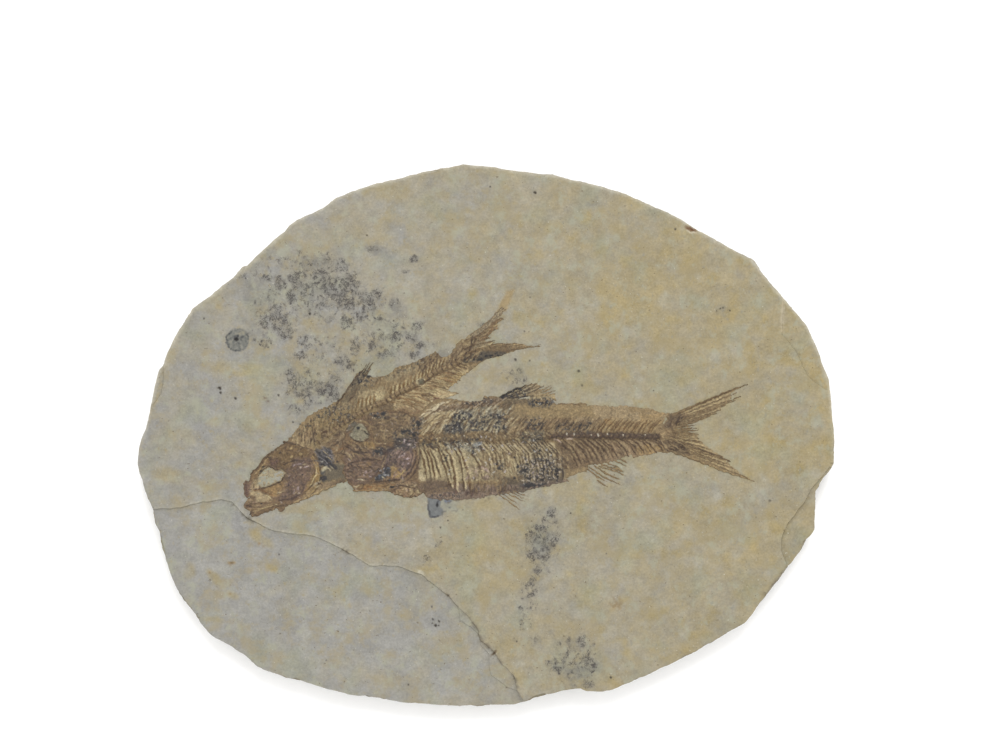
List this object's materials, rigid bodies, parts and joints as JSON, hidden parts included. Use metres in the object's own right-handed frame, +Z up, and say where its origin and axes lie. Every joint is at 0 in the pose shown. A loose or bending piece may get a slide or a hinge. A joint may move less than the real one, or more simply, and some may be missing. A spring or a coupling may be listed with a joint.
{
  "type": "fossil fish plate",
  "caption": "Oval broken-edged limestone plate with two small herring-like fossil fish in brown bone, one lying over the other.",
  "frame": {"origin": "on the flat back of the plate, below the centre of its bounding box", "axes": "+X along the plate towards the tails of the fish, +Y across the plate towards the back of the fish, +Z up out of the face that carries the fish"},
  "size_m": [0.1524, 0.1186, 0.0099],
  "materials": {
    "limestone": "matt fine-grained limestone, warm grey with ochre stains and black mineral specks",
    "lower_fish_bone": "fossil bone, brown to dark brown, slightly glossy on the skull",
    "upper_fish_bone": "fossil bone, ochre brown, slightly glossy on the skull"
  },
  "bodies": {
    "root": {"slab": "limestone", "lower_fish": "lower_fish_bone", "upper_fish": "upper_fish_bone"}
  },
  "joints": []
}
